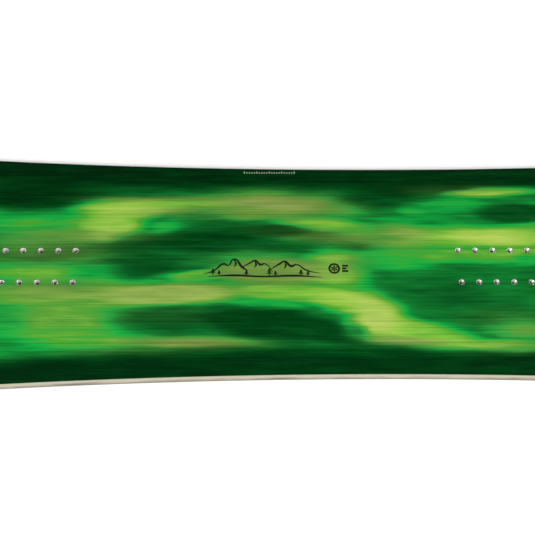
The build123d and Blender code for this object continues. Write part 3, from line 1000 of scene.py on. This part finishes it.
def make_ink(name, colour, paler, roughness):
    """Screen ink: thin and matt, with the mesh's grain at 0.3 mm."""
    material, tree, shader, place = start_material(name, Roughness=roughness, Specular_IOR_Level=0.25)
    grain = add(tree, "TexNoise", {"Vector": place, "Scale": 3000, "Detail": 2})
    wear = add(tree, "TexNoise", {"Vector": place, "Scale": 160, "Detail": 3})
    share = add(tree, "Math", {0: grain, 1: wear}, operation="MULTIPLY")
    tint = add(tree, "Mix", {0: share, 6: linear(colour), 7: linear(paler)}, data_type="RGBA")
    tree.links.new(tint.outputs[2], shader.inputs["Base Color"])
    bump = add(tree, "Bump", {"Height": grain, "Distance": 0.00002})
    tree.links.new(bump.outputs[0], shader.inputs["Normal"])
    return material


black_ink = make_ink("black screen ink", "#0A0C0A", "#1C211B", 0.5)
pale_ink = make_ink("pale screen ink", "#A9C49A", "#C4D6B4", 0.5)


def brush(name, material, strokes, smooth=True, bold=1):
    """Ink strokes: each is points of x, y and half width, in millimetres from the stance centre."""
    curve = bpy.data.curves.new(name, "CURVE")
    curve.dimensions = "3D"
    curve.bevel_depth = 0.001
    curve.bevel_resolution = 2
    curve.use_fill_caps = True
    curve.resolution_u = 6
    for stroke in strokes:
        spline = curve.splines.new("BEZIER")
        spline.bezier_points.add(len(stroke) - 1)
        for point, (x, y, half) in zip(spline.bezier_points, stroke):
            point.co = (STANCE_X + x / 1000, y / 1000, 0)
            point.radius = half * bold
            point.handle_left_type = point.handle_right_type = "AUTO" if smooth else "VECTOR"
    drawn = bpy.data.objects.new(name, curve)
    scene.collection.objects.link(drawn)
    bpy.context.view_layer.update()
    mesh = bpy.data.meshes.new_from_object(drawn.evaluated_get(bpy.context.evaluated_depsgraph_get()))
    bpy.data.objects.remove(drawn)
    bm = bmesh.new()
    bm.from_mesh(mesh)
    bpy.data.meshes.remove(mesh)
    bmesh.ops.remove_doubles(bm, verts=bm.verts, dist=1e-7)
    bmesh.ops.scale(bm, vec=(1, 1, INK_RISE), verts=bm.verts)
    bmesh.ops.translate(bm, vec=(0, 0, BOARD_TOP + 0.00001), verts=bm.verts)
    bmesh.ops.recalc_face_normals(bm, faces=bm.faces)
    return finish(bm, name, material, "topsheet")


def pine(x, foot, size):
    """Strokes of a small pine: a trunk and three pairs of drooping boughs."""
    strokes = [[(x, foot, 0.35), (x, foot + size, 0.12)]]
    for level in (0.30, 0.55, 0.80):
        reach, height = (1.05 - level) * size * 0.55, foot + level * size
        for side in (-1, 1):
            strokes.append([(x, height + 0.15 * size, 0.45), (x + side * reach, height - 0.06 * size, 0.12)])
    return strokes


RIDGE = [
    [(-73, -10, 0.15), (-60, -5, 0.5), (-50, 3, 0.6), (-45, 1, 0.4), (-38, 9, 0.5), (-29, -1, 0.8), (-22, -6, 0.2)],
    [(-30, -2, 0.2), (-20, 4, 0.5), (-14, 7, 0.6), (-8, 2, 0.7), (-3, 3, 0.4), (6, -7, 0.2)],
    [(2, -5, 0.2), (14, 3, 0.6), (20, 6, 0.5), (27, 0, 0.8), (33, 2, 0.4), (44, -5, 0.5), (60, -9, 0.15)],
    [(-38, 8, 0.4), (-36, 3, 0.6), (-38, -1, 0.2)],
    [(-14, 6, 0.4), (-13, 2, 0.6), (-15, -2, 0.2)],
    [(20, 5, 0.4), (21, 1, 0.6), (19, -3, 0.2)],
    [(-68, -13, 0.15), (-40, -11.5, 0.7), (-5, -13, 0.5), (30, -12, 0.7), (62, -14, 0.15)],
]
trees = [pine(*sizes) for sizes in ((-62, -11, 8), (-55, -11, 6), (-24, -12, 7), (2, -12, 9), (9, -12, 6), (38, -12, 8), (46, -12, 6))]
brush("ridge_drawing", black_ink, RIDGE + [stroke for tree in trees for stroke in tree], bold=1.9)


def snowflake(x, y, size):
    """Six arms, each with a pair of barbs."""
    strokes = []
    for arm in range(6):
        angle = radians(60 * arm + 30)
        out = Vector((cos(angle), sin(angle)))
        strokes.append([(x + 0.3 * out.x, y + 0.3 * out.y, 0.45), (x + size * out.x, y + size * out.y, 0.35)])
        for turn, share in ((-1, 0.50), (1, 0.62)):
            root = Vector((x, y)) + out * size * share
            tip = root + Matrix.Rotation(turn * radians(55), 2) @ out * size * 0.36
            strokes.append([(*root, 0.4), (*tip, 0.25)])
    return strokes


turns = [radians(15 * n) for n in range(25)]
ring = [(76 + 5.6 * cos(turn + 0.01 * turn), -3 + 5.6 * sin(turn + 0.01 * turn), 0.75) for turn in turns]
bars = [[(85, level, 0.8), (85 + reach, level, 0.8)] for level, reach in ((0.4, 7), (-2.9, 5), (-6.2, 7))]
brush("snowflake_mark", black_ink, [*snowflake(76, -3, 4.2), ring, *bars], smooth=False, bold=1.5)

ticks = [[(-27 + 3 * n, 123, 0.4), (-27 + 3 * n, 125 if n % 5 else 126, 0.4)] for n in range(21)]
brush("gauge_ticks", pale_ink, ticks, smooth=False)

# %% [markdown]
# The board lies on a plain white floor. A white floor takes a faint mottle, or it looks like a hole.

# %% Floor
floor_material, tree, shader, place = start_material("matt white studio floor", Roughness=0.9)
mottle = add(tree, "TexNoise", {"Vector": place, "Scale": 3, "Detail": 3})
white = add(tree, "Mix", {0: mottle, 6: linear("#F6F6F5"), 7: linear("#FDFDFC")}, data_type="RGBA")
tree.links.new(white.outputs[2], shader.inputs["Base Color"])

bm = bmesh.new()
bmesh.ops.create_grid(bm, x_segments=2, y_segments=2, size=12)
bmesh.ops.translate(bm, vec=(0, 0, -0.0005), verts=bm.verts)
floor_mesh = bpy.data.meshes.new("floor")
bm.to_mesh(floor_mesh)
bm.free()
floor_mesh.materials.append(floor_material)
floor = bpy.data.objects.new("floor", floor_mesh)
scene.collection.objects.link(floor)

# %% [markdown]
# The light is soft and comes from three sides, a little stronger from the left, which is where the
# inserts catch it. A smooth sheet shows whatever stands where the camera's line would bounce to, so
# the lights keep clear of that patch, the studio is pale at its walls and dark overhead, and the
# stain keeps its depth.

# %% Light
scene.view_settings.view_transform = "Standard"
scene.view_settings.exposure = 0.0


def soft_light(name, place, strength):
    """A broad light that comes evenly from the direction of that place."""
    light = bpy.data.lights.new(name, "SUN")
    light.angle = radians(24)
    light.energy = strength
    lamp = bpy.data.objects.new(name, light)
    lamp.location = place
    lamp.rotation_mode = "QUATERNION"
    lamp.rotation_quaternion = Vector(place).to_track_quat("Z", "Y")
    scene.collection.objects.link(lamp)


soft_light("left_light", (-1.2, -0.8, 1.4), 2.0)
soft_light("right_light", (1.2, -0.7, 1.4), 1.25)
soft_light("front_light", (0.0, -1.4, 1.5), 1.25)

world = bpy.data.worlds.new("studio")
scene.world = world
world.use_nodes = True
sky = world.node_tree
sky.nodes.clear()
height = add(sky, "SeparateXYZ", {0: add(sky, "TexCoord").outputs["Generated"]}).outputs["Z"]
glow = {"Value": height, "From Min": 0.10, "From Max": 0.18, "To Min": 0.65, "To Max": 0.0}
glow = add(sky, "MapRange", glow, interpolation_type="SMOOTHSTEP")
wall = {"Value": height, "From Min": 0.25, "From Max": 0.60, "To Min": 0.35, "To Max": 0.01}
wall = add(sky, "MapRange", wall, interpolation_type="SMOOTHSTEP")
wall = add(sky, "Math", {0: wall, 1: glow}, operation="ADD")
light = add(sky, "Background", {"Color": linear("#FFFFFF"), "Strength": wall})
add(sky, "OutputWorld", {"Surface": light})
